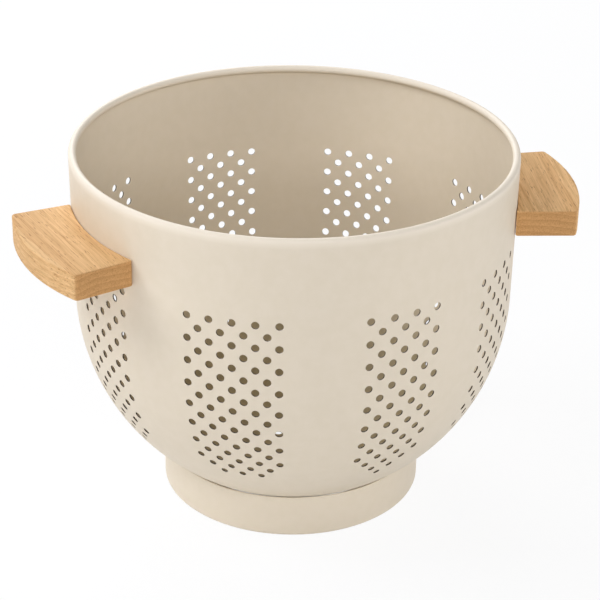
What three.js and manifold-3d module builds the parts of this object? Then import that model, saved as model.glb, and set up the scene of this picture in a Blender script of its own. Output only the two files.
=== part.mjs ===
// Colander: a perforated steel bowl on a foot ring, with a wooden handle block on each side.
// Millimetres, +Z up. The origin lies on the bowl's axis, on the surface that the foot stands on.
// Azimuths are measured about that axis from the front, -Y, and grow towards +X.

import * as THREE from 'three';
import { mergeVertices } from 'three/addons/utils/BufferGeometryUtils.js';
import Module from 'manifold-3d';

const wasm = await Module();
wasm.setup();

// Bowl: a hemisphere with a nearly upright wall above it, drawn from coated sheet.
const HEIGHT = 201;
const BODY_DIAMETER = 238;
const RIM_FLARE = 1;
const SHEET = 1;
const BEAD_DIAMETER = 4.2;
const BASE_DIAMETER = 80;
const BASE_CLEARANCE = 8;

// Foot: a band with a lip turned in to stand on, and a flange turned in along the bowl.
const FOOT_DIAMETER = 144;
const FOOT_SHEET = 1.2;
const FOOT_LIP = 6;
const FOOT_FLANGE = 8;

// Perforation: panels of staggered rows, whose columns follow the bowl's meridians.
const HOLE_DIAMETER = 4.2;
const FIRST_ROW_DROP = 47.5;
const ROW_PITCH = 6.42;
const COLUMN_PITCH = 3.08;
const WIDE_COLUMN_PITCH = 2.89;
const FULL_ROWS = 16;
const PANEL = { columns: 7, rows: 18, pitch: COLUMN_PITCH, rowsDown: 0 };
const WIDE_PANEL = { columns: 9, rows: 17, pitch: WIDE_COLUMN_PITCH, rowsDown: 0 };
const LOW_PANEL = { ...PANEL, rowsDown: 1 };
const PANELS = [
  { azimuth: -73.7, ...PANEL },
  { azimuth: -32.6, ...WIDE_PANEL },
  { azimuth: 10.2, ...PANEL },
  { azimuth: 46.4, ...PANEL },
  { azimuth: 101.4, ...LOW_PANEL },
  { azimuth: 143.2, ...LOW_PANEL },
  { azimuth: 183.7, ...LOW_PANEL },
  { azimuth: 224.8, ...LOW_PANEL },
];
const DRAIN_RINGS = 2;
const DRAIN_PITCH = 12;

// Handles: blocks that fit the bowl's curve, both set somewhat towards the front.
const HANDLE_SPREAD = 157;
const HANDLE_DROP = 26.5;
const HANDLE_THICKNESS = 14.5;
const HANDLE_DEPTH = 33.5;
const HANDLE_INNER_CHORD = 77;
const HANDLE_OUTER_CHORD = 82;
const HANDLE_OUTER_RADIUS = 115;
const HANDLE_CORNER = 3;
const HANDLE_EDGE = 1.8;

// Fasteners: a machine screw from inside the bowl into an insert in each handle, whose curved seat
// keeps it from turning.
const SCREW_DIAMETER = 4;
const SCREW_LENGTH = 18;
const SCREW_HEAD_DIAMETER = 8;
const SCREW_HEAD_HEIGHT = 2.4;
const WASHER_DIAMETER = 9;
const WASHER_THICKNESS = 0.8;
const INSERT_DIAMETER = 6.5;
const INSERT_LENGTH = 14;
const INSERT_RECESS = 1;

// Room between pieces that touch, and the coarseness of the facets.
const FIT = 0.3;
const HOLE_SIDES = 4;
const ROUND_SIDES = 8;
const FACET_COLUMNS = 4;
const FACET_ROWS = 4;
const FACET_ANGLE = 12;
const BEAD_STEPS = 3;
const HANDLE_STEPS = 2;
const EDGE_STEPS = 2;

const COAT = { color: '#d8cdbd', roughness: 0.55, metalness: 0 };
const WOOD = { color: '#cfa26c', roughness: 0.6, metalness: 0 };
const STEEL = { color: '#b9babb', roughness: 0.35, metalness: 1 };
const BRASS = { color: '#b8964f', roughness: 0.4, metalness: 1 };

const rad = THREE.MathUtils.degToRad;
const bodyRadius = BODY_DIAMETER / 2;
const rimRadius = bodyRadius + RIM_FLARE;
const baseRadius = BASE_DIAMETER / 2;
const beadRadius = BEAD_DIAMETER / 2;
const beadHeight = HEIGHT - beadRadius;
const equator = BASE_CLEARANCE + Math.sqrt(bodyRadius ** 2 - baseRadius ** 2);
const firstRowHeight = HEIGHT - FIRST_ROW_DROP;
const handleTop = HEIGHT - HANDLE_DROP;

// Solids for cutting, and meshes made from them.

function solid(geometry) {
  const bare = geometry.clone();
  bare.deleteAttribute('normal');
  bare.deleteAttribute('uv');
  const merged = mergeVertices(bare);
  const corners = merged.index.array;
  const triangles = [];
  for (let i = 0; i < corners.length; i += 3) {
    const [a, b, c] = corners.slice(i, i + 3);
    if (a !== b && b !== c && c !== a) triangles.push(a, b, c);
  }
  return new wasm.Manifold(new wasm.Mesh({
    numProp: 3,
    vertProperties: new Float32Array(merged.getAttribute('position').array),
    triVerts: new Uint32Array(triangles),
  }));
}

function mesh(name, shape, finish) {
  const { vertProperties, triVerts } = shape.getMesh();
  const geometry = new THREE.BufferGeometry();
  geometry.setAttribute('position', new THREE.BufferAttribute(vertProperties, 3));
  geometry.setIndex(new THREE.BufferAttribute(triVerts, 1));
  geometry.computeVertexNormals();
  const piece = new THREE.Mesh(geometry, new THREE.MeshStandardMaterial(finish));
  piece.name = name;
  return piece;
}

// The bowl's wall, by the length of arc below its equator. Above it the arc is negative.

function wallPoint(arc, depth = 0) {
  const tilt = Math.max(0, arc / bodyRadius);
  const flare = RIM_FLARE * Math.max(0, -arc / (beadHeight - equator));
  const radius = (bodyRadius - depth) * Math.cos(tilt) + flare;
  const height = equator - (bodyRadius - depth) * Math.sin(tilt) - Math.min(0, arc);
  return { radius, height, tilt };
}

const rowArc = (row) => equator - firstRowHeight + row * ROW_PITCH;
const wallRadiusAt = (height) => wallPoint(equator - height).radius;

// Facet edges run between the rows and the columns of holes, so that no hole crosses one.

function panelEdges({ azimuth, columns, pitch }) {
  const facets = Math.ceil(columns / FACET_COLUMNS);
  const edges = [];
  for (let i = 0; i <= facets; i += 1) {
    edges.push(azimuth + (Math.round((i * columns) / facets) - columns / 2) * pitch);
  }
  return edges;
}

function facetAzimuths() {
  const azimuths = [];
  PANELS.forEach((panel, i) => {
    const edges = panelEdges(panel);
    const turn = i + 1 < PANELS.length ? 0 : 360;
    const start = edges.at(-1);
    const gap = panelEdges(PANELS[(i + 1) % PANELS.length])[0] + turn - start;
    const facets = Math.ceil(gap / FACET_ANGLE);
    azimuths.push(...edges);
    for (let k = 1; k < facets; k += 1) {
      azimuths.push(start + (gap * k) / facets);
    }
  });
  return azimuths.map(rad);
}

function ringArcs() {
  const lastRow = Math.max(...PANELS.map(({ rowsDown, rows }) => rowsDown + rows)) - 0.5;
  const topRow = Math.ceil((firstRowHeight - equator) / ROW_PITCH - 0.5) + 0.5;
  const bands = Math.max(0, Math.ceil((lastRow - topRow) / FACET_ROWS));
  const lowest = rowArc(topRow + bands * FACET_ROWS);
  const baseArc = bodyRadius * Math.acos(baseRadius / bodyRadius);
  const steps = Math.max(1, Math.ceil((baseArc - lowest) / (FACET_ROWS * ROW_PITCH)));
  const arcs = [];
  for (let k = 0; k < steps; k += 1) {
    arcs.push(baseArc + ((lowest - baseArc) * k) / steps);
  }
  for (let band = bands; band >= 0; band -= 1) {
    arcs.push(rowArc(topRow + band * FACET_ROWS));
  }
  return arcs;
}

const azimuths = facetAzimuths();

function revolve(points) {
  const geometry = new THREE.LatheGeometry(points, azimuths.length);
  const position = geometry.getAttribute('position');
  for (let i = 0; i < position.count; i += 1) {
    const { x: radius, y: height } = points[i % points.length];
    const azimuth = azimuths[Math.floor(i / points.length) % azimuths.length];
    position.setXYZ(i, radius * Math.sin(azimuth), -radius * Math.cos(azimuth), height);
  }
  return geometry;
}

// Bowl

function bowlShell() {
  const arcs = ringArcs();
  const profile = new THREE.Path();
  profile.moveTo(0, BASE_CLEARANCE);
  arcs.forEach((arc) => {
    const { radius, height } = wallPoint(arc);
    profile.lineTo(radius, height);
  });
  const beadEnd = 2 * Math.PI - Math.acos((beadRadius - SHEET) / beadRadius);
  profile.absarc(rimRadius - beadRadius, beadHeight, beadRadius, 0, beadEnd, false);
  arcs.toReversed().forEach((arc) => {
    const { radius, height } = wallPoint(arc, SHEET);
    profile.lineTo(radius, Math.max(height, BASE_CLEARANCE + SHEET));
  });
  profile.lineTo(0, BASE_CLEARANCE + SHEET);
  return revolve(profile.getPoints(BEAD_STEPS));
}

// A punch whose section has the area of a round hole.
function punch(diameter, sides) {
  const share = Math.sqrt((2 * Math.PI) / (sides * Math.sin((2 * Math.PI) / sides)));
  const size = (diameter / 2) * share;
  const length = 2 * (SHEET + diameter);
  return solid(new THREE.CylinderGeometry(size, size, length, sides, 1, false, Math.PI / sides));
}

// The punch set square to the wall, at a place on it.
function punchAt(tool, azimuth, { radius, height, tilt }) {
  const along = new THREE.Vector3(Math.cos(azimuth), Math.sin(azimuth), 0);
  const out = new THREE.Vector3(
    Math.cos(tilt) * Math.sin(azimuth),
    -Math.cos(tilt) * Math.cos(azimuth),
    -Math.sin(tilt),
  );
  const place = new THREE.Matrix4().makeBasis(along, out, along.clone().cross(out));
  place.setPosition(radius * Math.sin(azimuth), -radius * Math.cos(azimuth), height);
  return tool.transform(place.elements);
}

const holePunch = punch(HOLE_DIAMETER, HOLE_SIDES);
const screwPunch = punch(SCREW_DIAMETER + 2 * FIT, ROUND_SIDES);

// Each panel has full rows, then ends in a point.
function panelHoles({ azimuth, columns, rows, pitch, rowsDown }) {
  const half = (columns - 1) / 2;
  const holes = [];
  for (let row = 0; row < rows; row += 1) {
    const reach = row < FULL_ROWS ? half : half - 2 - (row - FULL_ROWS);
    for (let column = -half; column <= half; column += 1) {
      const staggered = (column + half + row) % 2 === 0;
      if (staggered && Math.abs(column) <= reach) {
        const at = rad(azimuth + column * pitch);
        holes.push(punchAt(holePunch, at, wallPoint(rowArc(row + rowsDown))));
      }
    }
  }
  return holes;
}

// Drain holes lie in rings of six, twelve and so on, round one in the middle.
function drainHoles() {
  const base = { height: BASE_CLEARANCE, tilt: Math.PI / 2 };
  const holes = [punchAt(holePunch, 0, { radius: 0, ...base })];
  for (let ring = 1; ring <= DRAIN_RINGS; ring += 1) {
    for (let k = 0; k < 6 * ring; k += 1) {
      holes.push(punchAt(holePunch, rad((k * 60) / ring), { radius: ring * DRAIN_PITCH, ...base }));
    }
  }
  return holes;
}

const handleSides = [
  { side: 'left', azimuth: -HANDLE_SPREAD / 2 },
  { side: 'right', azimuth: HANDLE_SPREAD / 2 },
];
const handleMiddle = handleTop - HANDLE_THICKNESS / 2;

function screwHoles() {
  const place = wallPoint(equator - handleMiddle);
  return handleSides.map(({ azimuth }) => punchAt(screwPunch, rad(azimuth), place));
}

function makeBowl() {
  const holes = [...PANELS.flatMap(panelHoles), ...drainHoles(), ...screwHoles()];
  return mesh('bowl', solid(bowlShell()).subtract(wasm.Manifold.union(holes)), COAT);
}

// Foot

function makeFootRing() {
  const footRadius = FOOT_DIAMETER / 2;
  const under = (radius, gap) => equator - Math.sqrt((bodyRadius + gap) ** 2 - radius ** 2);
  const flangeRadius = footRadius - FOOT_FLANGE;
  const wallInside = footRadius - FOOT_SHEET;
  const points = [
    [footRadius - FOOT_LIP, 0],
    [footRadius, 0],
    [footRadius, under(footRadius, FIT)],
    [flangeRadius, under(flangeRadius, FIT)],
    [flangeRadius, under(flangeRadius, FIT + FOOT_SHEET)],
    [wallInside, under(wallInside, FIT + FOOT_SHEET)],
    [wallInside, FOOT_SHEET],
    [footRadius - FOOT_LIP, FOOT_SHEET],
    [footRadius - FOOT_LIP, 0],
  ];
  return mesh('foot_ring', solid(revolve(points.map(([x, y]) => new THREE.Vector2(x, y)))), COAT);
}

// Handles, drawn at the front, where the way out of the bowl is -Y.

const seatRadius = wallRadiusAt(handleTop) + FIT;

// Half of the plan, from the middle of the inner face round one end, and its mirror image.
function handleOutline() {
  const middle = -Math.PI / 2;
  const onArc = (centre, radius, angle) => (
    new THREE.Vector2(radius * Math.cos(angle), centre + radius * Math.sin(angle))
  );
  const outerCentre = HANDLE_OUTER_RADIUS - HANDLE_DEPTH - seatRadius;
  const innerHalf = Math.asin(HANDLE_INNER_CHORD / 2 / seatRadius);
  const outerHalf = Math.asin(HANDLE_OUTER_CHORD / 2 / HANDLE_OUTER_RADIUS);
  const innerEnd = middle + innerHalf - HANDLE_CORNER / seatRadius;
  const outerEnd = middle + outerHalf - HANDLE_CORNER / HANDLE_OUTER_RADIUS;
  const innerCorner = onArc(0, seatRadius, middle + innerHalf);
  const outerCorner = onArc(outerCentre, HANDLE_OUTER_RADIUS, middle + outerHalf);
  const setback = outerCorner.clone().sub(innerCorner).setLength(HANDLE_CORNER);
  const endStart = innerCorner.clone().add(setback);
  const endStop = outerCorner.clone().sub(setback);
  const outerStart = onArc(outerCentre, HANDLE_OUTER_RADIUS, outerEnd);
  const half = new THREE.Path();
  half.absarc(0, 0, seatRadius, middle, innerEnd, false);
  half.quadraticCurveTo(innerCorner.x, innerCorner.y, endStart.x, endStart.y);
  half.lineTo(endStop.x, endStop.y);
  half.quadraticCurveTo(outerCorner.x, outerCorner.y, outerStart.x, outerStart.y);
  half.absarc(0, outerCentre, HANDLE_OUTER_RADIUS, outerEnd, middle, true);
  const points = half.getPoints(HANDLE_STEPS);
  const mirrored = points.slice(1, -1).reverse().map(({ x, y }) => new THREE.Vector2(-x, y));
  return new THREE.Shape([...points, ...mirrored]);
}

// A round solid on a screw's axis, from its section: radius, and distance from the bowl's axis.
function turned(section) {
  const points = section.map(([radius, distance]) => new THREE.Vector2(radius, -distance));
  return new THREE.LatheGeometry(points, ROUND_SIDES).translate(0, 0, handleMiddle);
}

const insertStart = seatRadius + INSERT_RECESS;
const insertEnd = insertStart + INSERT_LENGTH;
const widestFacet = rad(Math.max(FACET_ANGLE, FACET_COLUMNS * COLUMN_PITCH));
const washerFace = (wallRadiusAt(handleMiddle) - SHEET) * Math.cos(widestFacet / 2) - FIT;
const headSeat = washerFace - WASHER_THICKNESS - FIT;

function makeHandle(name) {
  const block = new THREE.ExtrudeGeometry(handleOutline(), {
    depth: HANDLE_THICKNESS - 2 * HANDLE_EDGE,
    bevelThickness: HANDLE_EDGE,
    bevelSize: HANDLE_EDGE,
    bevelOffset: -HANDLE_EDGE,
    bevelSegments: EDGE_STEPS,
  });
  block.translate(0, 0, handleTop - HANDLE_THICKNESS + HANDLE_EDGE);
  const boreRadius = INSERT_DIAMETER / 2 + FIT;
  const bore = [[0, insertEnd + FIT], [boreRadius, insertEnd + FIT], [boreRadius, headSeat], [0, headSeat]];
  return mesh(name, solid(block).subtract(solid(turned(bore))), WOOD);
}

function makeInsert(name) {
  const outer = INSERT_DIAMETER / 2;
  const inner = SCREW_DIAMETER / 2 + FIT;
  const tube = [
    [inner, insertEnd],
    [outer, insertEnd],
    [outer, insertStart],
    [inner, insertStart],
    [inner, insertEnd],
  ];
  return mesh(name, solid(turned(tube)), BRASS);
}

function makeWasher(name) {
  const outer = WASHER_DIAMETER / 2;
  const inner = SCREW_DIAMETER / 2 + FIT;
  const ring = [
    [inner, washerFace],
    [outer, washerFace],
    [outer, washerFace - WASHER_THICKNESS],
    [inner, washerFace - WASHER_THICKNESS],
    [inner, washerFace],
  ];
  return mesh(name, solid(turned(ring)), STEEL);
}

function makeScrew(name) {
  const shank = SCREW_DIAMETER / 2;
  const head = SCREW_HEAD_DIAMETER / 2;
  const tip = headSeat + SCREW_LENGTH;
  const section = [
    [0, tip],
    [shank / 2, tip],
    [shank, tip - shank / 2],
    [shank, headSeat],
    [head, headSeat],
    [head, headSeat - SCREW_HEAD_HEIGHT / 2],
    [head / 2, headSeat - SCREW_HEAD_HEIGHT],
    [0, headSeat - SCREW_HEAD_HEIGHT],
  ];
  return mesh(name, solid(turned(section)), STEEL);
}

function handleGroup({ side, azimuth }) {
  const group = new THREE.Group();
  const name = `handle_${side}`;
  group.add(makeHandle(name), makeInsert(`${name}_insert`));
  group.add(makeWasher(`${name}_washer`), makeScrew(`${name}_screw`));
  group.rotation.z = rad(azimuth);
  return group;
}

const colander = new THREE.Group();
colander.add(makeBowl(), makeFootRing(), ...handleSides.map(handleGroup));

export default colander;
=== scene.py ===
# %% [markdown]
# # A cream colander with wooden handles
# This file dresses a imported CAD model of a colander. The CAD part already has every piece at its real
# size, so nothing here moves or resizes it. Blender adds what the solids leave out: round holes, the
# rolled rim, softened edges, the powder coat and the grain of the wood.

# %% Load the frame
import math

import bmesh
import bpy
import numpy as np
from mathutils import Matrix, Vector


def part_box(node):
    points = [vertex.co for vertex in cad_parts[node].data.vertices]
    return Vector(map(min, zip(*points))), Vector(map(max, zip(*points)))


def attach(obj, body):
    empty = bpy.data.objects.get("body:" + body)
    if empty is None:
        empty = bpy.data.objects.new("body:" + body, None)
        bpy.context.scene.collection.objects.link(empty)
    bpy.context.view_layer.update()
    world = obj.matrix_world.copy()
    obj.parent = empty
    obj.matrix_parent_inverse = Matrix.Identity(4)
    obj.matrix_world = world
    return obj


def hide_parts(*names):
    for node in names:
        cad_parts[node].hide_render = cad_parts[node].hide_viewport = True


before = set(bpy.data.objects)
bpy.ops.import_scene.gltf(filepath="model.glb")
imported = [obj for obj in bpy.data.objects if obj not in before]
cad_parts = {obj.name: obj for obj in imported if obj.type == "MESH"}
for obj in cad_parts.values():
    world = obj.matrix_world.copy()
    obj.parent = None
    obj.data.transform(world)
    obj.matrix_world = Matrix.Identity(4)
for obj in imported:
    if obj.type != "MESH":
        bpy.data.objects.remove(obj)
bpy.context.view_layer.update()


# %% [markdown]
# ## Working as by hand
# Blender's operators could be replaced by meshes that are computed point by point, but operators are what
# a maker uses at the screen, so the steps can be repeated there. They act on the active object and on all
# that is selected, so each step first clears the selection. Vertices, edges and faces are then picked by
# where they are, which plays the part of the mouse.

# %% Selecting and editing
MM = 0.001


def clear_selection():
    if bpy.context.object and bpy.context.object.mode != "OBJECT":
        bpy.ops.object.mode_set(mode="OBJECT")
    bpy.ops.object.select_all(action="DESELECT")


def take(piece):
    clear_selection()
    piece.select_set(True)
    bpy.context.view_layer.objects.active = piece


def edit(piece):
    take(piece)
    bpy.ops.object.mode_set(mode="EDIT")
    bpy.ops.mesh.select_mode(type="VERT")


def stop_editing():
    bpy.ops.object.mode_set(mode="OBJECT")


def pick(kind, where):
    """Selects what lies where we want in the edited mesh: an edge by both its ends, a face by its middle."""
    mesh = bpy.context.object.data
    bpy.ops.mesh.select_mode(type=kind)
    bpy.ops.mesh.select_all(action="DESELECT")
    shape = bmesh.from_edit_mesh(mesh)
    if kind == "VERT":
        for vert in shape.verts:
            vert.select_set(where(vert.co))
    if kind == "EDGE":
        for line in shape.edges:
            line.select_set(where(line.verts[0].co) and where(line.verts[1].co))
    if kind == "FACE":
        for face in shape.faces:
            face.select_set(where(face.calc_center_median()))
    shape.select_flush_mode()
    bmesh.update_edit_mesh(mesh)


# %% [markdown]
# ### Shaping and finishing
# Some steps come back with every piece: merging doubles, turning faces outwards, softening sharp edges,
# and putting a piece's place into its mesh. They could be written out each time, but a short name for
# each keeps the pieces below easy to read. A finished piece also hides the CAD node it stands for.

# %% Shaping and finishing
SHARP_EDGE = math.radians(60)


def merge_doubles(distance):
    bpy.ops.mesh.select_all(action="SELECT")
    bpy.ops.mesh.remove_doubles(threshold=distance)


def face_outward():
    bpy.ops.mesh.select_all(action="SELECT")
    bpy.ops.mesh.normals_make_consistent(inside=False)


def bevel_sharp_edges(width, segments):
    bpy.ops.mesh.select_all(action="DESELECT")
    bpy.ops.mesh.edges_select_sharp(sharpness=SHARP_EDGE)
    bpy.ops.mesh.bevel(offset=width, segments=segments, affect="EDGES")


def apply_modifier(piece, kind, **settings):
    take(piece)
    modifier = piece.modifiers.new(kind.title(), kind)
    for setting, value in settings.items():
        setattr(modifier, setting, value)
    bpy.ops.object.modifier_apply(modifier=modifier.name)


def settle(piece):
    """Puts a piece's place, turn and size into its mesh."""
    take(piece)
    bpy.ops.object.transform_apply(location=True, rotation=True, scale=True)


def upright_cylinder(sides, radius, depth, centre=(0, 0, 0)):
    clear_selection()
    bpy.ops.mesh.primitive_cylinder_add(vertices=sides, radius=radius, depth=depth, location=centre)
    settle(bpy.context.object)
    return bpy.context.object


def copy_of(piece):
    twin = piece.copy()
    twin.data = piece.data.copy()
    bpy.context.collection.objects.link(twin)
    return twin


def join(pieces):
    clear_selection()
    for piece in pieces:
        piece.select_set(True)
    bpy.context.view_layer.objects.active = pieces[0]
    bpy.ops.object.join()
    return bpy.context.object


def cut(piece, cutter):
    apply_modifier(piece, "BOOLEAN", operation="DIFFERENCE", solver="EXACT", object=cutter)
    bpy.data.objects.remove(cutter)


def finish_piece(piece, name, nodes, material, smooth_angle=35):
    """Shades a piece, gives it its material, and hides the CAD nodes it stands for."""
    take(piece)
    bpy.ops.object.shade_smooth_by_angle(angle=math.radians(smooth_angle))
    piece.name = name
    piece.data.name = name
    piece.data.materials.clear()
    piece.data.materials.append(material)
    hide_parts(*nodes)
    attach(piece, "root")
    piece.data.calc_loop_triangles()
    print(name, len(piece.data.loop_triangles), "triangles")


# %% [markdown]
# ## Camera
# The photograph was taken with a long lens from a little above, turned to the left of the front. A short
# lens close by would widen the near rim, so the camera stands well back. It looks at a point beside the
# bowl's axis, so that the object sits in the frame as it does there.

# %% Camera
SENSOR = 36.0
LENS = 122.6
CAMERA_AZIMUTH = math.radians(-18)
CAMERA_ELEVATION = math.radians(27.86)
CAMERA_ROLL = math.radians(0.8)
CAMERA_DISTANCE = 1136.8 * MM
CAMERA_REACH = 20
BOWL_MIDDLE = Vector((0, 0, 90 * MM))
AIM_RIGHT = 4.0 * MM
AIM_UP = 15.7 * MM

towards_camera = Vector((
    math.sin(CAMERA_AZIMUTH) * math.cos(CAMERA_ELEVATION),
    -math.cos(CAMERA_AZIMUTH) * math.cos(CAMERA_ELEVATION),
    math.sin(CAMERA_ELEVATION),
))
camera_right = Vector((math.cos(CAMERA_AZIMUTH), math.sin(CAMERA_AZIMUTH), 0))
camera_up = towards_camera.cross(camera_right)
bpy.ops.object.camera_add(location=BOWL_MIDDLE + towards_camera * CAMERA_DISTANCE)
camera = bpy.context.object
camera.name = "photo_camera"
camera.data.sensor_width = SENSOR
camera.data.lens = LENS
camera.data.clip_end = CAMERA_REACH
aim = BOWL_MIDDLE + camera_right * AIM_RIGHT + camera_up * AIM_UP
look = (aim - camera.location).to_track_quat("-Z", "Y").to_matrix()
camera.rotation_euler = (look @ Matrix.Rotation(CAMERA_ROLL, 3, "Z")).to_euler()
bpy.context.scene.camera = camera
print("camera at", tuple(round(c, 3) for c in camera.location))

# %% [markdown]
# ## Studio
# The photo has a plain white background and soft light. More light could make the floor white, but it
# would bleach the bowl too. So the floor and the world look white to the camera and in reflections alone,
# and the floor still shows part of the shadow.

# %% White floor and world
FLOOR_SIZE = 6.0
FLOOR_COLOUR = (0.92, 0.92, 0.92, 1)
FLOOR_WHITE = 0.9
WORLD_LIGHT = 0.03


def as_background(tree, otherwise, seen):
    """A value that changes on the rays that show the background: the camera's, and in shine and glass."""
    path = tree.nodes.new("ShaderNodeLightPath")
    shown = path.outputs["Is Camera Ray"]
    for ray in ("Is Glossy Ray", "Is Transmission Ray"):
        either = tree.nodes.new("ShaderNodeMath")
        either.operation = "MAXIMUM"
        tree.links.new(shown, either.inputs[0])
        tree.links.new(path.outputs[ray], either.inputs[1])
        shown = either.outputs["Value"]
    share = tree.nodes.new("ShaderNodeMapRange")
    share.inputs["To Min"].default_value = otherwise
    share.inputs["To Max"].default_value = seen
    tree.links.new(shown, share.inputs["Value"])
    return share.outputs["Result"]


def studio_world():
    world = bpy.data.worlds.new("studio")
    bpy.context.scene.world = world
    world.use_nodes = True
    background = world.node_tree.nodes["Background"]
    background.inputs["Color"].default_value = (1, 1, 1, 1)
    strength = as_background(world.node_tree, WORLD_LIGHT, 1.0)
    world.node_tree.links.new(strength, background.inputs["Strength"])


def studio_floor():
    clear_selection()
    bpy.ops.mesh.primitive_plane_add(size=FLOOR_SIZE)
    floor = bpy.context.object
    floor.name = "floor"
    material = bpy.data.materials.new("studio_floor")
    material.use_nodes = True
    nodes = material.node_tree.nodes
    links = material.node_tree.links
    paper = nodes["Principled BSDF"]
    paper.inputs["Base Color"].default_value = FLOOR_COLOUR
    paper.inputs["Roughness"].default_value = 1.0
    paper.inputs["Specular IOR Level"].default_value = 0.0
    white = nodes.new("ShaderNodeEmission")
    blend = nodes.new("ShaderNodeMixShader")
    links.new(as_background(material.node_tree, 0.0, FLOOR_WHITE), blend.inputs["Fac"])
    links.new(paper.outputs["BSDF"], blend.inputs[1])
    links.new(white.outputs["Emission"], blend.inputs[2])
    links.new(blend.outputs["Shader"], nodes["Material Output"].inputs["Surface"])
    floor.data.materials.append(material)


studio_world()
studio_floor()
print("floor", FLOOR_SIZE, "m wide, world light", WORLD_LIGHT)

# %% [markdown]
# ### Lamps
# Five large soft lamps of slightly cool light stand round the bowl: a high one at the left, a front and a
# back one, and two low ones at the sides. A single lamp would leave half of the bowl dark. These light
# the outside evenly, the tops of the handles and the upper part of the inside, and leave the bottom of
# the bowl in shade.

# %% Lamps
LAMP_SIZE = 1.2
LAMP_COLOUR = (0.93, 0.945, 1.0)
LAMP_AIM = Vector((0, 0, 120 * MM))


def lamp(name, place, power):
    bpy.ops.object.light_add(type="AREA", location=place)
    light = bpy.context.object
    light.name = name
    light.data.name = name
    light.data.size = LAMP_SIZE
    light.data.energy = power
    light.data.color = LAMP_COLOUR
    light.rotation_euler = (LAMP_AIM - Vector(place)).to_track_quat("-Z", "Y").to_euler()


lamp("left_high", (-1.55, 0.5, 1.65), 30)
lamp("left_low", (-1.9, -0.3, 0.7), 5.5)
lamp("front", (-0.35, -1.95, 1.25), 27)
lamp("right_low", (1.9, -0.6, 0.6), 15)
lamp("back", (0.0, 1.8, 1.3), 28)
bpy.context.scene.view_settings.view_transform = "Standard"
print("lamps:", {light.name: round(light.energy, 1) for light in bpy.data.lights})

# %% [markdown]
# ## Sizes of the bowl
# A drawn bowl has few driving sizes: the rim, the body, the flat base and the sheet. Its two heights are
# read from the frame, and the equator, where the round part meets the upright wall, follows from them, so
# that the bowl fits its CAD solid. The holes are set out from their first row.

# %% Sizes of the bowl
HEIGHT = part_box("bowl")[1].z
RIM_RADIUS = 120 * MM
BODY_RADIUS = 119 * MM
SHEET = 1.0 * MM
BEAD_RADIUS = 2.1 * MM
BASE_RADIUS = 40 * MM
BASE_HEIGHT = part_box("bowl")[0].z
HOLE_RADIUS = 2.1 * MM
FIRST_ROW_HEIGHT = 153.5 * MM
ROW_PITCH = 6.42 * MM
PANEL_ROWS = 18
SHEET_ROWS = 19
FULL_ROWS = 16
CELL_STEPS = 4
TINY = 0.02 * MM
EQUATOR = BASE_HEIGHT + math.sqrt(BODY_RADIUS ** 2 - BASE_RADIUS ** 2)
BEAD_HEIGHT = HEIGHT - BEAD_RADIUS
sheet_top = FIRST_ROW_HEIGHT - EQUATOR + ROW_PITCH / 2
sheet_bottom = sheet_top - SHEET_ROWS * ROW_PITCH


def wall_radius_at(height):
    """Radius of the upright wall, which widens a little from the equator to the rim."""
    return BODY_RADIUS + (RIM_RADIUS - BODY_RADIUS) * (height - EQUATOR) / (BEAD_HEIGHT - EQUATOR)


print("equator at", round(EQUATOR / MM, 2), "mm, rim at", round(HEIGHT / MM, 2), "mm")

# %% [markdown]
# ## Finishes
# Each finish is a node material that reads Object coordinates, so it sits still on the piece. A picture
# could be laid on instead, but it would need a file and would show seams on round pieces. A small helper
# adds nodes by name and sets their sockets, and the finishes below are short recipes with it.

# %% Node helpers


def linear(red, green, blue):
    """A colour as seen on a screen, 0 to 255, turned into the linear values that shaders take."""
    def channel(value):
        share = value / 255
        return share / 12.92 if share <= 0.04045 else ((share + 0.055) / 1.055) ** 2.4
    return (channel(red), channel(green), channel(blue), 1)


class Finish:
    """A material with its shader, and short calls to add nodes to it."""

    def __init__(self, name, **sockets):
        self.material = bpy.data.materials.new(name)
        self.material.use_nodes = True
        self.tree = self.material.node_tree
        self.shader = self.tree.nodes["Principled BSDF"]
        for socket, value in sockets.items():
            self.shader.inputs[socket.replace("_", " ")].default_value = value
        self.place = self.add("ShaderNodeTexCoord").outputs["Object"]

    def add(self, kind, inputs=None, **settings):
        node = self.tree.nodes.new(kind)
        for setting, value in settings.items():
            setattr(node, setting, value)
        for socket, value in (inputs or {}).items():
            if isinstance(value, bpy.types.NodeSocket):
                self.tree.links.new(value, node.inputs[socket])
            else:
                node.inputs[socket].default_value = value
        return node

    def noise(self, place, scale, detail=2.0, roughness=0.5):
        node = self.add(
            "ShaderNodeTexNoise",
            {"Vector": place, "Scale": scale, "Detail": detail, "Roughness": roughness},
        )
        return node.outputs["Fac"]

    def ramp(self, factor, *stops):
        node = self.add("ShaderNodeValToRGB", {"Fac": factor})
        elements = node.color_ramp.elements
        while len(elements) < len(stops):
            elements.new(0.5)
        for element, (position, colour) in zip(elements, stops):
            element.position = position
            element.color = colour
        return node.outputs["Color"]

    def mix(self, factor, first, second, blend="MIX"):
        node = self.add("ShaderNodeMix", data_type="RGBA", blend_type=blend)
        for socket, value in ((0, factor), (6, first), (7, second)):
            if isinstance(value, bpy.types.NodeSocket):
                self.tree.links.new(value, node.inputs[socket])
            else:
                node.inputs[socket].default_value = value
        return node.outputs[2]

    def spread(self, factor, low, high):
        node = self.add("ShaderNodeMapRange", {"Value": factor, "To Min": low, "To Max": high})
        return node.outputs["Result"]

    def bump(self, height, strength, distance):
        relief = {"Height": height, "Strength": strength, "Distance": distance}
        self.link(self.add("ShaderNodeBump", relief).outputs["Normal"], "Normal")

    def link(self, output, socket):
        self.tree.links.new(output, self.shader.inputs[socket])
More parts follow.
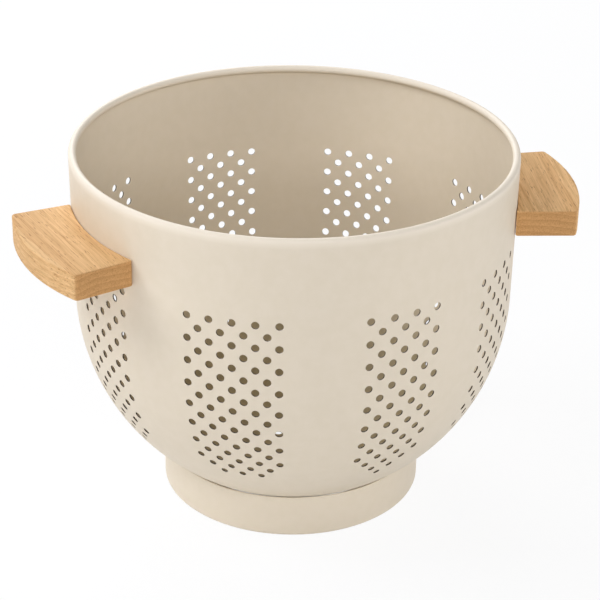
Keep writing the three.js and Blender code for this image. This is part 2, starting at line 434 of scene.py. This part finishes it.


# %% [markdown]
# ### Powder coat
# Powder coat melts into a satin skin with a very fine orange peel. The colour hardly varies: a faint
# mottle keeps it from looking printed, and the peel is a shallow bump less than a millimetre across.
# Three tones are guessed and paint light and shade into the colour: a painted highlight makes the rim
# lighter, and painted shade makes the walls of the holes darker and the bottom inside browner. They could be
# three materials, but the borders would then follow the faces. How a face lies to the sheet tells the
# outside, the inside and the hole walls apart.

# %% Powder coat
COAT_LIGHT = linear(225, 212, 190)
COAT_DARK = linear(223, 210, 187)
# Painted highlight: the coat on the rim is lighter, standing in for light falling on the bead.
PAINTED_RIM_HIGHLIGHT = linear(234, 222, 202)
# Painted shade: the walls of the holes are darker, standing in for the shade inside them.
PAINTED_HOLE_SHADE = linear(62, 52, 38)
# Painted shade: the bottom inside is browner, standing in for the shade deep in the bowl.
PAINTED_DEEP_SHADE = linear(178, 164, 132)
RIM_HIGHLIGHT_FROM = 196 * MM
RIM_HIGHLIGHT_TO = 199 * MM
HOLES_BELOW = 170 * MM
DEEP_SHADE_FROM = 70 * MM
DEEP_SHADE_TO = 45 * MM
HOLE_WALL_FACING = 0.4
COAT_SHINE = 0.35
COAT_ROUGHNESS = (0.46, 0.58)
MOTTLE_SCALE = 160
SHEEN_SCALE = 500
PEEL_SCALE = 1400
PEEL_STRENGTH = 0.06
PEEL_DEPTH = 0.15 * MM


class Coat(Finish):
    """A powder coat that knows where on the bowl it lies."""

    def __init__(self, name, **sockets):
        super().__init__(name, **sockets)
        split = self.add("ShaderNodeSeparateXYZ", {0: self.place})
        self.x, self.y, self.height = (split.outputs[axis] for axis in "XYZ")

    def calculate(self, operation, *values):
        return self.add("ShaderNodeMath", dict(enumerate(values)), operation=operation).outputs[0]

    def facing(self):
        """How a face lies to the sheet: 1 outside the bowl, -1 inside it, and 0 on the wall of a hole."""
        depth = self.calculate("MINIMUM", self.calculate("SUBTRACT", self.height, EQUATOR), 0.0)
        from_middle = self.add("ShaderNodeCombineXYZ", {"X": self.x, "Y": self.y, "Z": depth})
        outward = self.add("ShaderNodeVectorMath", {0: from_middle.outputs[0]}, operation="NORMALIZE")
        normal = self.add("ShaderNodeTexCoord").outputs["Normal"]
        pair = {0: normal, 1: outward.outputs[0]}
        return self.add("ShaderNodeVectorMath", pair, operation="DOT_PRODUCT").outputs["Value"]

    def between(self, start, end):
        """0 at the height of the start and 1 at that of the end, rising evenly between."""
        heights = {"Value": self.height, "From Min": start, "From Max": end}
        return self.add("ShaderNodeMapRange", heights).outputs["Result"]

    # Mask of the painted shade on the inside faces, growing towards the bottom of the bowl.
    def deep_shade_mask(self, facing):
        inside = self.calculate("LESS_THAN", facing, 0.0)
        return self.calculate("MULTIPLY", inside, self.between(DEEP_SHADE_FROM, DEEP_SHADE_TO))

    # Mask of the painted shade on the walls of the holes, below the height of the top row.
    def hole_shade_mask(self, facing):
        along = self.calculate("LESS_THAN", self.calculate("ABSOLUTE", facing), HOLE_WALL_FACING)
        return self.calculate("MULTIPLY", along, self.calculate("LESS_THAN", self.height, HOLES_BELOW))


def powder_coat(name, is_bowl):
    coat = Coat(name, Specular_IOR_Level=COAT_SHINE)
    mottle = coat.noise(coat.place, MOTTLE_SCALE, 3)
    colour = coat.ramp(mottle, (0.35, COAT_DARK), (0.65, COAT_LIGHT))
    if is_bowl:
        facing = coat.facing()
        # A painted highlight makes the rim lighter.
        colour = coat.mix(coat.between(RIM_HIGHLIGHT_FROM, RIM_HIGHLIGHT_TO), colour, PAINTED_RIM_HIGHLIGHT)
        # Painted shade makes the bottom inside browner.
        colour = coat.mix(coat.deep_shade_mask(facing), colour, PAINTED_DEEP_SHADE)
        # Painted shade makes the walls of the holes dark.
        colour = coat.mix(coat.hole_shade_mask(facing), colour, PAINTED_HOLE_SHADE)
    coat.link(colour, "Base Color")
    sheen = coat.noise(coat.place, SHEEN_SCALE)
    coat.link(coat.spread(sheen, *COAT_ROUGHNESS), "Roughness")
    coat.bump(coat.noise(coat.place, PEEL_SCALE), PEEL_STRENGTH, PEEL_DEPTH)
    return coat.material


bowl_coat = powder_coat("bowl_coat", True)
foot_coat = powder_coat("foot_coat", False)
print("coats:", bowl_coat.name, len(bowl_coat.node_tree.nodes), "nodes,", foot_coat.name)

# %% [markdown]
# ### Metals of the fixings
# The screws and washers are plain stainless steel, turned and a little dull, and the inserts are brass.
# Tool marks could be drawn as rings round each piece, but at a few millimetres across a fine noise in the
# colour, the roughness and a bump looks the same from any side.

# %% Metals
STREAK_SCALE = 900
STREAK_SHADE = 0.85
STREAK_STRENGTH = 0.05
STREAK_DEPTH = 0.05 * MM


def turned_metal(name, colour, dull):
    metal = Finish(name, Metallic=1.0)
    streak = metal.noise(metal.place, STREAK_SCALE, 3)
    shaded = tuple(channel * STREAK_SHADE for channel in colour[:3]) + (1,)
    metal.link(metal.ramp(streak, (0.3, shaded), (0.7, colour)), "Base Color")
    metal.link(metal.spread(streak, dull - 0.06, dull + 0.1), "Roughness")
    metal.bump(streak, STREAK_STRENGTH, STREAK_DEPTH)
    return metal.material


steel_material = turned_metal("stainless_steel", linear(205, 205, 203), 0.3)
brass_material = turned_metal("turned_brass", linear(205, 172, 106), 0.35)
print("metals:", steel_material.name, brass_material.name)

# %% [markdown]
# ## The bowl as a flat sheet
# The wall has eight panels of staggered holes. Punching hundreds of holes into a curved wall with
# booleans leaves long thin faces that shade badly, so the wall is laid out flat first, in square cells: a
# cell with a round hole, and a plain one. Two of each make a block, blocks make a panel, and plain strips
# join the panels. The flat sheet is then wrapped onto the bowl, so every hole keeps clean faces round it.

# %% Two kinds of cell


def on_square(point, width):
    """Moves a point of a circle out to the edge of a cell, keeping the steps along each side even."""
    angle = math.atan2(point.y, point.x)
    side = round(angle / (math.pi / 2))
    along = (angle - side * math.pi / 2) / (math.pi / 4)
    turned = Matrix.Rotation(side * math.pi / 2, 3, "Z") @ Vector((1, along, 0))
    return Vector((turned.x * width / 2, turned.y * ROW_PITCH / 2, 0))


def holed_cell(width):
    clear_selection()
    bpy.ops.mesh.primitive_circle_add(vertices=4 * CELL_STEPS, radius=HOLE_RADIUS)
    cell = bpy.context.object
    edit(cell)
    bpy.ops.mesh.select_all(action="SELECT")
    bpy.ops.mesh.extrude_region_move()
    shape = bmesh.from_edit_mesh(cell.data)
    for vert in shape.verts:
        if vert.select:
            vert.co = on_square(vert.co, width)
    bmesh.update_edit_mesh(cell.data)
    stop_editing()
    return cell


def plain_sheet(width, height, columns, rows, centre):
    clear_selection()
    bpy.ops.mesh.primitive_grid_add(x_subdivisions=columns, y_subdivisions=rows, size=1, location=centre)
    sheet = bpy.context.object
    sheet.scale = (width, height, 1)
    settle(sheet)
    return sheet


def cell_block(width):
    """Two holed cells and two plain ones, with the first hole at the origin."""
    first_hole = holed_cell(width)
    second_hole = copy_of(first_hole)
    second_hole.location = (width, -ROW_PITCH, 0)
    settle(second_hole)
    right = plain_sheet(width, ROW_PITCH, CELL_STEPS, CELL_STEPS, (width, 0, 0))
    below = plain_sheet(width, ROW_PITCH, CELL_STEPS, CELL_STEPS, (0, -ROW_PITCH, 0))
    return join([first_hole, second_hole, right, below])


# %% [markdown]
# ### A panel of holes
# Two Array modifiers repeat the block along the rows and down the columns. A panel has an odd number of
# columns, so the last half block is deleted. The lowest rows come to a point: holes outside it are
# filled.

# %% Panels
NARROW = {"columns": 7, "pitch": math.radians(3.08) * BODY_RADIUS, "rows": 18}
WIDE = {"columns": 9, "pitch": math.radians(2.89) * BODY_RADIUS, "rows": 17}


def panel_cells(kind):
    """Row and column of each punched cell, and whether its hole is kept."""
    half = (kind["columns"] - 1) // 2
    for row in range(PANEL_ROWS):
        reach = half if row < FULL_ROWS else half - 2 - (row - FULL_ROWS)
        for column in range(kind["columns"]):
            if (row + column) % 2 == 0:
                yield row, column, row < kind["rows"] and abs(column - half) <= reach


def fill_hole(x, y):
    centre = Vector((x, y, 0))
    pick("VERT", lambda place: (place - centre).length < HOLE_RADIUS + TINY)
    bpy.ops.mesh.fill_grid(span=CELL_STEPS)


def repeat(piece, count, step):
    apply_modifier(
        piece, "ARRAY", count=count,
        use_relative_offset=False, use_constant_offset=True, constant_offset_displace=step,
    )


def make_panel(kind):
    columns, pitch = kind["columns"], kind["pitch"]
    panel = cell_block(pitch)
    repeat(panel, (columns + 1) // 2, (2 * pitch, 0, 0))
    repeat(panel, PANEL_ROWS // 2, (0, -2 * ROW_PITCH, 0))
    edit(panel)
    merge_doubles(TINY)
    pick("FACE", lambda place: place.x > (columns - 0.5) * pitch)
    bpy.ops.mesh.delete(type="FACE")
    for row, column, kept in panel_cells(kind):
        if not kept:
            fill_hole(column * pitch, -row * ROW_PITCH)
    stop_editing()
    print("panel of", columns, "columns:", len(panel.data.polygons), "faces")
    return panel


NARROW["model"] = make_panel(NARROW)
WIDE["model"] = make_panel(WIDE)

# %% [markdown]
# ### One sheet
# On the flat sheet, X is the azimuth times the body's radius and Y is the length of arc above the
# equator. Panels are copied to their azimuths, strips fill the gaps, and the upper and lower wall are
# extruded.

# %% Sheet
PANELS = (
    (-73.7, NARROW, 0),
    (-32.6, WIDE, 0),
    (10.2, NARROW, 0),
    (46.4, NARROW, 0),
    (101.4, NARROW, 1),
    (143.2, NARROW, 1),
    (183.7, NARROW, 1),
    (224.8, NARROW, 1),
)
STRIP_WIDTH = 5 * MM
UPPER_STEPS = 6
LOWER_STEPS = 10


def panel_edges(azimuth, kind):
    middle = math.radians(azimuth) * BODY_RADIUS
    half = kind["columns"] / 2 * kind["pitch"]
    return middle - half, middle + half


def strip(left, right, columns, top, rows):
    height = rows * ROW_PITCH
    centre = ((left + right) / 2, top - height / 2, 0)
    return plain_sheet(right - left, height, columns, rows * CELL_STEPS, centre)


def lay_panel(azimuth, kind, rows_down):
    """A panel in its place, with a plain row above or below it."""
    left, right = panel_edges(azimuth, kind)
    panel = copy_of(kind["model"])
    panel.location = (left + kind["pitch"] / 2, sheet_top - (rows_down + 0.5) * ROW_PITCH, 0)
    settle(panel)
    plain_top = sheet_top if rows_down else sheet_top - PANEL_ROWS * ROW_PITCH
    plain = strip(left, right, kind["columns"] * CELL_STEPS, plain_top, SHEET_ROWS - PANEL_ROWS)
    return [panel, plain]


def lay_sheet():
    pieces = []
    edges = [panel_edges(azimuth, kind) for azimuth, kind, _ in PANELS]
    starts = [left for left, _ in edges[1:]] + [edges[0][0] + 2 * math.pi * BODY_RADIUS]
    for panel, (_, right), gap_end in zip(PANELS, edges, starts):
        pieces += lay_panel(*panel)
        pieces.append(strip(right, gap_end, round((gap_end - right) / STRIP_WIDTH), sheet_top, SHEET_ROWS))
    return join(pieces)


def extrude_edge(place, steps, distance):
    pick("VERT", lambda vert: abs(vert.y - place) < TINY)
    for _ in range(steps):
        bpy.ops.mesh.extrude_region_move(TRANSFORM_OT_translate={"value": (0, distance / steps, 0)})


bowl = lay_sheet()
bpy.data.objects.remove(NARROW.pop("model"))
bpy.data.objects.remove(WIDE.pop("model"))
edit(bowl)
merge_doubles(TINY)
base_arc = BODY_RADIUS * math.acos(BASE_RADIUS / BODY_RADIUS)
extrude_edge(sheet_top, UPPER_STEPS, BEAD_HEIGHT - EQUATOR - sheet_top)
extrude_edge(sheet_bottom, LOWER_STEPS, -base_arc - sheet_bottom)
stop_editing()
holes = sum(kept for _, kind, _ in PANELS for _, _, kept in panel_cells(kind))
print("flat sheet:", len(bowl.data.polygons), "faces,", holes, "holes")

# %% [markdown]
# ### Wrapping the sheet
# Every point of the sheet moves to its azimuth and arc on the bowl: an upright wall with a slight flare
# above the equator, and a sphere below. Meridians draw together on the sphere, so the lowest holes come
# out a little narrower, as they do in the photo.

# %% Wrap


def wrap(points):
    azimuth = points[:, 0] / BODY_RADIUS
    above = np.maximum(points[:, 1], 0)
    tilt = np.maximum(-points[:, 1], 0) / BODY_RADIUS
    flare = wall_radius_at(EQUATOR + above) - BODY_RADIUS
    radius = BODY_RADIUS * np.cos(tilt) + flare
    height = EQUATOR + above - BODY_RADIUS * np.sin(tilt)
    return np.column_stack((radius * np.sin(azimuth), -radius * np.cos(azimuth), height))


sheet_points = np.empty(len(bowl.data.vertices) * 3)
bowl.data.vertices.foreach_get("co", sheet_points)
bowl.data.vertices.foreach_set("co", wrap(sheet_points.reshape(-1, 3)).ravel())
bowl.data.update()
edit(bowl)
merge_doubles(TINY)
stop_editing()
print("wrapped:", len(bowl.data.vertices), "vertices")

# %% [markdown]
# ### Base and rolled rim
# The open bottom gets one flat face whose corner is bevelled, as a drawn bowl has no sharp fold. At the
# top the sheet is rolled inwards: the edge is extruded step by step round the section of the bead.

# %% Base and rim
BASE_FILLET = 5 * MM
FILLET_STEPS = 4
ROLL_END = math.radians(305)
ROLL_STEPS = 12


def close_base():
    pick("EDGE", lambda place: place.z < BASE_HEIGHT + TINY)
    bpy.ops.mesh.edge_face_add()
    pick("EDGE", lambda place: place.z < BASE_HEIGHT + TINY)
    bpy.ops.mesh.bevel(offset=BASE_FILLET, segments=FILLET_STEPS, affect="EDGES")


def roll_rim():
    pick("VERT", lambda place: place.z > BEAD_HEIGHT - TINY)
    middle = RIM_RADIUS - BEAD_RADIUS
    radius, height = RIM_RADIUS, BEAD_HEIGHT
    for step in range(1, ROLL_STEPS + 1):
        angle = ROLL_END * step / ROLL_STEPS
        next_radius = middle + BEAD_RADIUS * math.cos(angle)
        next_height = BEAD_HEIGHT + BEAD_RADIUS * math.sin(angle)
        size = next_radius / radius
        bpy.ops.mesh.extrude_region_move()
        bpy.ops.transform.resize(value=(size, size, 1), center_override=(0, 0, 0))
        bpy.ops.transform.translate(value=(0, 0, next_height - height))
        radius, height = next_radius, next_height


edit(bowl)
close_base()
roll_rim()
face_outward()
stop_editing()
upper_faces = [face for face in bowl.data.polygons if face.center.z > EQUATOR]
outward = sum(face.normal.xy.dot(face.center.xy) for face in upper_faces)
print("normals point", "out" if outward > 0 else "in")

# %% [markdown]
# ### Thickness, drain holes and screw holes
# Solidify gives the sheet its thickness towards the inside. The few holes of the base and of the handle
# screws sit on flat or nearly flat places, so there a boolean is the quick and clean way. Last, all sharp
# edges of the holes are bevelled a little, as the coat rounds them.

# %% Thickness and last holes
DRAIN_RINGS = 2
DRAIN_PITCH = 12 * MM
DRAIN_SIDES = 20
HANDLE_SPREAD = 157
SCREW_HOLE_RADIUS = 2.2 * MM
PUNCH_REACH = 4 * SHEET
DRAIN_PUNCH = 6 * SHEET
HOLE_EDGE = 0.15 * MM


def drain_punches():
    places = [(0, 0)]
    for ring in range(1, DRAIN_RINGS + 1):
        for step in range(6 * ring):
            angle = math.radians(step * 60 / ring)
            places.append((ring * DRAIN_PITCH * math.sin(angle), -ring * DRAIN_PITCH * math.cos(angle)))
    return [upright_cylinder(DRAIN_SIDES, HOLE_RADIUS, DRAIN_PUNCH, (x, y, BASE_HEIGHT)) for x, y in places]


handle_low, handle_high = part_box("handle_left")
handle_middle = (handle_low.z + handle_high.z) / 2
wall_radius = wall_radius_at(handle_middle)
handle_azimuths = {"left": -math.radians(HANDLE_SPREAD / 2), "right": math.radians(HANDLE_SPREAD / 2)}


def lay_outward(piece, azimuth, distance):
    """Turns an upright piece to point out from the bowl's axis, at the height of the handles."""
    lie_down = Matrix.Rotation(math.pi / 2, 4, "X")
    out = Matrix.Translation((0, -distance, handle_middle))
    piece.matrix_world = Matrix.Rotation(azimuth, 4, "Z") @ out @ lie_down
    settle(piece)


def radial_cylinder(azimuth, radius, start, end):
    rod = upright_cylinder(DRAIN_SIDES, radius, end - start)
    lay_outward(rod, azimuth, (start + end) / 2)
    return rod


apply_modifier(bowl, "SOLIDIFY", thickness=SHEET, offset=-1, use_even_offset=True)
screw_punches = [
    radial_cylinder(azimuth, SCREW_HOLE_RADIUS, wall_radius - PUNCH_REACH, wall_radius + PUNCH_REACH)
    for azimuth in handle_azimuths.values()
]
cut(bowl, join(drain_punches() + screw_punches))
edit(bowl)
bpy.ops.mesh.select_mode(type="EDGE")
bevel_sharp_edges(HOLE_EDGE, 1)
stop_editing()
finish_piece(bowl, "coated_bowl", ["bowl"], bowl_coat)

# %% [markdown]
# ## Foot ring
# A strip of the same coated steel, rolled into a band and welded under the bowl. Its top is turned in
# along the bowl and its lower edge is turned in to stand on. The section is drawn as a chain of points
# with rounded bends, spun about the bowl's axis, and then given its thickness. Scaled circles could be
# stacked instead, but a spun section keeps each bend where it is drawn.

# %% Foot ring
FOOT_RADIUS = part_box("foot_ring")[1].x
FOOT_SHEET = 1.2 * MM
FOOT_LIP = 6 * MM
FOOT_FLANGE = 8 * MM
WELD_GAP = 0.3 * MM
SHOULDER_BEND = 1.6 * MM
HEEL_BEND = 2.2 * MM
BEND_STEPS = 5
SPIN_STEPS = 144


def under_bowl(radius):
    """Height of the sphere that the flange lies along, just below the bowl."""
    return EQUATOR - math.sqrt((BODY_RADIUS + WELD_GAP) ** 2 - radius ** 2)


def rounded(before, corner, after, reach):
    """Points of a bend that starts and ends at a reach from a corner of the section."""
    start = corner + (before - corner).normalized() * reach
    end = corner + (after - corner).normalized() * reach
    bend = []
    for step in range(BEND_STEPS + 1):
        share = step / BEND_STEPS
        bend.append(start.lerp(corner, share).lerp(corner.lerp(end, share), share))
    return bend


def foot_section():
    inner = FOOT_RADIUS - FOOT_FLANGE
    flange = Vector((inner, 0, under_bowl(inner)))
    shoulder = Vector((FOOT_RADIUS, 0, under_bowl(FOOT_RADIUS)))
    heel = Vector((FOOT_RADIUS, 0, 0))
    lip = Vector((FOOT_RADIUS - FOOT_LIP, 0, 0))
    return [
        flange,
        *rounded(flange, shoulder, heel, SHOULDER_BEND),
        *rounded(shoulder, heel, lip, HEEL_BEND),
        lip,
    ]


def make_foot():
    section = foot_section()
    clear_selection()
    bpy.ops.mesh.primitive_plane_add(size=MM, location=section[0])
    foot = bpy.context.object
    settle(foot)
    edit(foot)
    bpy.ops.mesh.select_all(action="SELECT")
    bpy.ops.mesh.merge(type="CENTER")
    for before, after in zip(section, section[1:]):
        bpy.ops.mesh.extrude_region_move(TRANSFORM_OT_translate={"value": after - before})
    bpy.ops.mesh.select_all(action="SELECT")
    bpy.ops.mesh.spin(steps=SPIN_STEPS, angle=2 * math.pi, center=(0, 0, 0), axis=(0, 0, 1))
    merge_doubles(TINY)
    face_outward()
    stop_editing()
    apply_modifier(foot, "SOLIDIFY", thickness=FOOT_SHEET, offset=-1, use_even_offset=True)
    return foot


foot = make_foot()
finish_piece(foot, "coated_foot_ring", ["foot_ring"], foot_coat)

# %% [markdown]
# ## Oak
# The handles are sawn from oak with the grain along the handle. Growth rings are nested tubes round the
# tree's heart, which lies below the block, so the ends show soft layers and the top shows few ring lines.
# Fine fibres and short dark pores run along the grain, and end grain takes up more oil, so it is darker.
# Noise in space, drawn out along the grain, is like a solid block of wood, so the top, the sides and the
# ends match.

# %% Oak
OAK_PALE = linear(241, 199, 144)
OAK_WARM = linear(231, 185, 129)
OAK_STREAK = (0.8, 0.73, 0.64, 1)
OAK_FIBRE = (0.84, 0.8, 0.74, 1)
OAK_PORE = linear(156, 107, 60)
OAK_END = linear(207, 159, 104)
OAK_END_DARK = linear(195, 147, 94)
WHITE = (1, 1, 1, 1)
BLACK = (0, 0, 0, 1)
RING_PITCH = 3.6 * MM
RING_SWAY = 5 * MM
TREE_HEART = (0.0, 0.122, -0.068)
PORE_COVER = (0.75, 0.75, 0.75, 1)
OAK_SHINE = 0.15
PORE_STRENGTH = 0.25
PORE_DEPTH = 0.12 * MM


class Oak(Finish):
    """Oak whose grain runs across the way out of the bowl at an azimuth."""

    def __init__(self, name, azimuth, seed):
        super().__init__(name, Specular_IOR_Level=OAK_SHINE)
        self.azimuth = azimuth
        self.block = self.mapped(self.place, "Rotation", (0, 0, -azimuth))
        self.board = self.mapped(self.block, "Location", (seed, -seed, 0))

    def mapped(self, place, socket, value):
        return self.add("ShaderNodeMapping", {"Vector": place, socket: value}).outputs["Vector"]

    def grain(self, length, width, detail, roughness=0.5):
        """Noise drawn out along the grain, with marks of a length and a width in metres."""
        stretched = self.mapped(self.board, "Scale", (1 / length, 1 / width, 1 / width))
        return self.noise(stretched, 1, detail, roughness)

    def rings(self):
        """Growth rings about the tree's heart, from 0 at a ring's start to 1 at its end."""
        sway = {0: (0, 0, RING_SWAY), "Scale": self.grain(100 * MM, 30 * MM, 3)}
        wander = self.add("ShaderNodeVectorMath", sway, operation="SCALE")
        heart = self.mapped(self.block, "Location", TREE_HEART)
        swayed = self.add("ShaderNodeVectorMath", {0: heart, 1: wander.outputs[0]}, operation="ADD")
        scale = 2 * math.pi / (20 * RING_PITCH)
        wave = self.add(
            "ShaderNodeTexWave", {"Vector": swayed.outputs[0], "Scale": scale, "Distortion": 0.0},
            wave_type="RINGS", rings_direction="X", wave_profile="SAW",
        )
        return wave.outputs["Fac"]

    def end_grain(self):
        """1 on faces that cut across the grain and 0 on faces along it."""
        normal = self.add("ShaderNodeTexCoord").outputs["Normal"]
        axis = (math.cos(self.azimuth), math.sin(self.azimuth), 0)
        facing = self.add("ShaderNodeVectorMath", {0: normal, 1: axis}, operation="DOT_PRODUCT")
        across = self.add("ShaderNodeMath", {0: facing.outputs["Value"]}, operation="ABSOLUTE")
        return self.ramp(across.outputs[0], (0.5, BLACK), (0.9, WHITE))


def oak(name, azimuth, seed, painted_lightness):
    wood = Oak(name, azimuth, seed)
    rings = wood.rings()
    streaks = wood.grain(70 * MM, 1.3 * MM, 4, 0.6)
    fibres = wood.grain(20 * MM, 0.6 * MM, 2)
    pores = wood.grain(6 * MM, 0.55 * MM, 1)
    colour = wood.ramp(rings, (0.2, OAK_PALE), (0.95, OAK_WARM))
    colour = wood.mix(1.0, colour, wood.ramp(streaks, (0.3, OAK_STREAK), (0.56, WHITE)), "MULTIPLY")
    # Painted light and shade: the whole copy of the oak is scaled by the lightness given for its handle.
    colour = wood.mix(1.0, colour, (painted_lightness, painted_lightness, painted_lightness, 1), "MULTIPLY")
    layers = wood.ramp(rings, (0.2, OAK_END), (0.9, OAK_END_DARK))
    colour = wood.mix(wood.end_grain(), colour, layers)
    fine = wood.ramp(fibres, (0.3, OAK_FIBRE), (0.6, WHITE))
    colour = wood.mix(1.0, colour, fine, "MULTIPLY")
    open_pore = wood.ramp(pores, (0.64, BLACK), (0.72, PORE_COVER))
    colour = wood.mix(open_pore, colour, OAK_PORE)
    wood.link(colour, "Base Color")
    wood.link(wood.spread(streaks, 0.75, 0.62), "Roughness")
    wood.bump(wood.mix(open_pore, fibres, BLACK), PORE_STRENGTH, PORE_DEPTH)
    return wood.material


# %% [markdown]
# ## Handles
# Each handle is a block cut to the bowl's curve on its inner side and to a wider curve outside, with ends
# that splay. A box could be cut with the bowl's shape, but that would leave uneven faces for the bevels.
# So a flat grid is moved into that plan and extruded to the block's thickness. The upright corners are
# bevelled first and then the edges all round, as a router would take them.

# %% Handles
HANDLE_THICKNESS = handle_high.z - handle_low.z
HANDLE_DEPTH = 33.5 * MM
HANDLE_INNER_CHORD = 77 * MM
HANDLE_OUTER_CHORD = 82 * MM
HANDLE_OUTER_RADIUS = 115 * MM
HANDLE_CORNER = 1.6 * MM
HANDLE_EDGE = 0.8 * MM
SEAT_GAP = 0.3 * MM
HANDLE_COLUMNS = 12
HANDLE_ROWS = 4
EDGE_STEPS = 4
INSERT_BORE_RADIUS = 3.4 * MM
INSERT_REACH = 15.5 * MM
BORE_RUN_IN = 4 * MM
HANDLE_SMOOTH_ANGLE = 50
# Painted shade and light: the left handle's oak is a little darker and the right one's a little lighter, for
# how the lamps fall on them.
OAK_PAINTED_LIGHTNESS = {"left": 0.91, "right": 1.01}
OAK_SEED = {"left": 0.37, "right": 0.81}

seat_radius = wall_radius_at(handle_high.z) + SEAT_GAP


def handle_plan(across, out):
    """A point of the handle's plan at the front of the bowl, for across and out from -1 to 1."""
    inner_angle = math.asin(HANDLE_INNER_CHORD / 2 / seat_radius) * across
    outer_angle = math.asin(HANDLE_OUTER_CHORD / 2 / HANDLE_OUTER_RADIUS) * across
    inner = Vector((math.sin(inner_angle), -math.cos(inner_angle), 0)) * seat_radius
    outer = Vector((math.sin(outer_angle), -math.cos(outer_angle), 0)) * HANDLE_OUTER_RADIUS
    outer.y -= seat_radius + HANDLE_DEPTH - HANDLE_OUTER_RADIUS
    return inner.lerp(outer, (out + 1) / 2)


def make_handle(azimuth):
    clear_selection()
    bpy.ops.mesh.primitive_grid_add(x_subdivisions=HANDLE_COLUMNS, y_subdivisions=HANDLE_ROWS, size=2)
    handle = bpy.context.object
    edit(handle)
    shape = bmesh.from_edit_mesh(handle.data)
    for vert in shape.verts:
        vert.co = handle_plan(vert.co.x, vert.co.y)
        vert.co.z = handle_low.z
    bmesh.update_edit_mesh(handle.data)
    bpy.ops.mesh.select_all(action="SELECT")
    bpy.ops.mesh.extrude_region_move(TRANSFORM_OT_translate={"value": (0, 0, HANDLE_THICKNESS)})
    face_outward()
    corners = [handle_plan(across, out) for across in (-1, 1) for out in (-1, 1)]
    pick("EDGE", lambda place: any((place.xy - corner.xy).length < TINY for corner in corners))
    bpy.ops.mesh.bevel(offset=HANDLE_CORNER, segments=EDGE_STEPS, affect="EDGES")
    bevel_sharp_edges(HANDLE_EDGE, EDGE_STEPS)
    stop_editing()
    handle.rotation_euler.z = azimuth
    settle(handle)
    return handle


for side, azimuth in handle_azimuths.items():
    handle = make_handle(azimuth)
    start, end = seat_radius - BORE_RUN_IN, seat_radius + INSERT_REACH
    cut(handle, radial_cylinder(azimuth, INSERT_BORE_RADIUS, start, end))
    material = oak(f"oak_{side}", azimuth, OAK_SEED[side], OAK_PAINTED_LIGHTNESS[side])
    nodes = [f"handle_{side}"]
    finish_piece(handle, f"oak_handle_{side}", nodes, material, HANDLE_SMOOTH_ANGLE)

# %% [markdown]
# ## Fixings
# A machine screw holds each handle from inside the bowl, and the handle's curved seat keeps it from
# turning. A washer lies on the wall under the head, and a brass insert in the wood takes the thread. One
# screw and one washer are modelled and copied. Threads could be spun round the shank, but the wood hides
# them, so it is plain. The inserts are hidden in the wood, so they stay as the CAD has them.

# %% Screws and washers
SCREW_RADIUS = 2.0 * MM
SCREW_LENGTH = 18 * MM
HEAD_RADIUS = 4.0 * MM
HEAD_HEIGHT = 2.4 * MM
SOCKET_RADIUS = 1.5 * MM
SOCKET_DEPTH = 1.3 * MM
WASHER_RADIUS = 4.5 * MM
WASHER_THICKNESS = 0.8 * MM
WASHER_EDGE = 0.15 * MM
WASHER_CLEARANCE = 0.05 * MM
HEAD_DOME = 0.7 * HEAD_HEIGHT
DOME_STEPS = 6
SCREW_TIP = SCREW_RADIUS / 2
TIP_TAPER = 0.6
FASTENER_SIDES = 32


def make_screw():
    """A screw along Z, with its head below the origin and its shank above."""
    screw = upright_cylinder(FASTENER_SIDES, HEAD_RADIUS, HEAD_HEIGHT, (0, 0, -HEAD_HEIGHT / 2))
    edit(screw)
    pick("FACE", lambda place: place.z > -TINY)
    bpy.ops.mesh.inset(thickness=HEAD_RADIUS - SCREW_RADIUS)
    bpy.ops.mesh.extrude_region_move(TRANSFORM_OT_translate={"value": (0, 0, SCREW_LENGTH - SCREW_TIP)})
    bpy.ops.mesh.extrude_region_move(TRANSFORM_OT_translate={"value": (0, 0, SCREW_TIP)})
    bpy.ops.transform.resize(value=(TIP_TAPER, TIP_TAPER, 1), center_override=(0, 0, 0))
    pick("EDGE", lambda place: place.z < TINY - HEAD_HEIGHT)
    bpy.ops.mesh.bevel(offset=HEAD_DOME, segments=DOME_STEPS, affect="EDGES")
    stop_editing()
    cut(screw, upright_cylinder(6, SOCKET_RADIUS, 2 * SOCKET_DEPTH, (0, 0, -HEAD_HEIGHT)))
    return screw


def make_washer():
    """A washer along Z, whose upper face is at the origin."""
    clear_selection()
    bpy.ops.mesh.primitive_circle_add(vertices=FASTENER_SIDES, radius=WASHER_RADIUS)
    washer = bpy.context.object
    edit(washer)
    bpy.ops.mesh.select_all(action="SELECT")
    bpy.ops.mesh.extrude_region_move()
    hole = SCREW_HOLE_RADIUS / WASHER_RADIUS
    bpy.ops.transform.resize(value=(hole, hole, 1), center_override=(0, 0, 0))
    bpy.ops.mesh.select_all(action="SELECT")
    bpy.ops.mesh.extrude_region_move(TRANSFORM_OT_translate={"value": (0, 0, -WASHER_THICKNESS)})
    face_outward()
    bevel_sharp_edges(WASHER_EDGE, 2)
    stop_editing()
    return washer


wall_face = math.sqrt((wall_radius - SHEET) ** 2 - WASHER_RADIUS ** 2) - WASHER_CLEARANCE
screw_model = make_screw()
washer_model = make_washer()
for side, azimuth in handle_azimuths.items():
    screw = copy_of(screw_model)
    lay_outward(screw, azimuth, wall_face - WASHER_THICKNESS)
    finish_piece(screw, f"steel_screw_{side}", [f"handle_{side}_screw"], steel_material)
    washer = copy_of(washer_model)
    lay_outward(washer, azimuth, wall_face)
    finish_piece(washer, f"steel_washer_{side}", [f"handle_{side}_washer"], steel_material)
    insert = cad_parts[f"handle_{side}_insert"]
    insert.data.materials.clear()
    insert.data.materials.append(brass_material)
bpy.data.objects.remove(screw_model)
bpy.data.objects.remove(washer_model)
